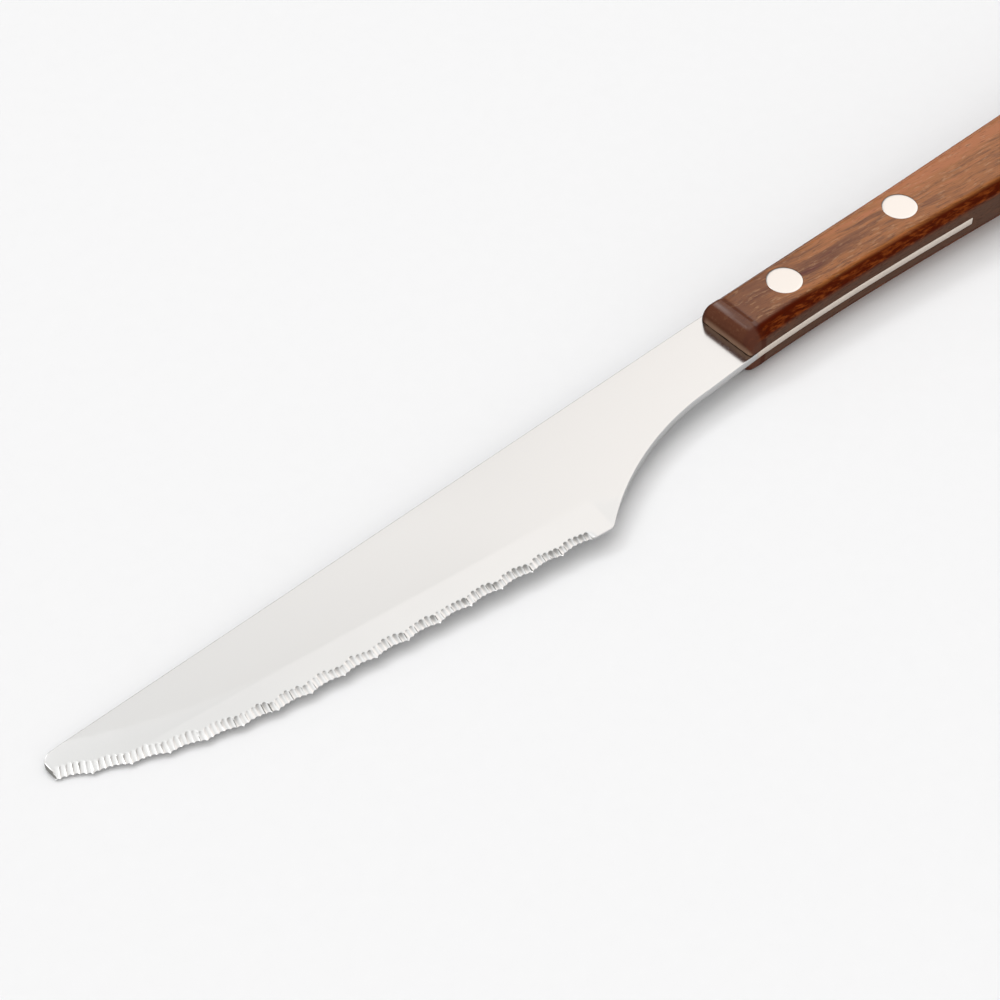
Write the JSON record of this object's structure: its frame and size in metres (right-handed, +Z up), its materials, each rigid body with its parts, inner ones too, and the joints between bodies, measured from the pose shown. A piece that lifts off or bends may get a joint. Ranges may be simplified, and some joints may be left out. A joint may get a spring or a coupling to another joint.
{
  "type": "table knife",
  "caption": "Table knife with a blunt-nosed serrated steel blade, a half tang and a slotted red-brown wooden handle held by flush compression rivets, lying on its side.",
  "frame": {"origin": "middle of the bottom of the box round the knife, on the table it lies on", "axes": "+X along the knife from nose to butt, +Y from the cutting edge to the spine, +Z up from the table; the knife lies on its side, nose lower than the butt"},
  "size_m": [0.215, 0.0196, 0.0109],
  "materials": {
    "blade_steel": "polished, faintly brushed",
    "handle_wood": "lacquered",
    "rivet_metal": "satin, ground flush"
  },
  "bodies": {
    "root": {"blade": "blade_steel", "handle": "handle_wood", "front_rivet_sleeve": "rivet_metal", "front_rivet_pin": "rivet_metal", "rear_rivet_sleeve": "rivet_metal", "rear_rivet_pin": "rivet_metal"}
  },
  "joints": []
}
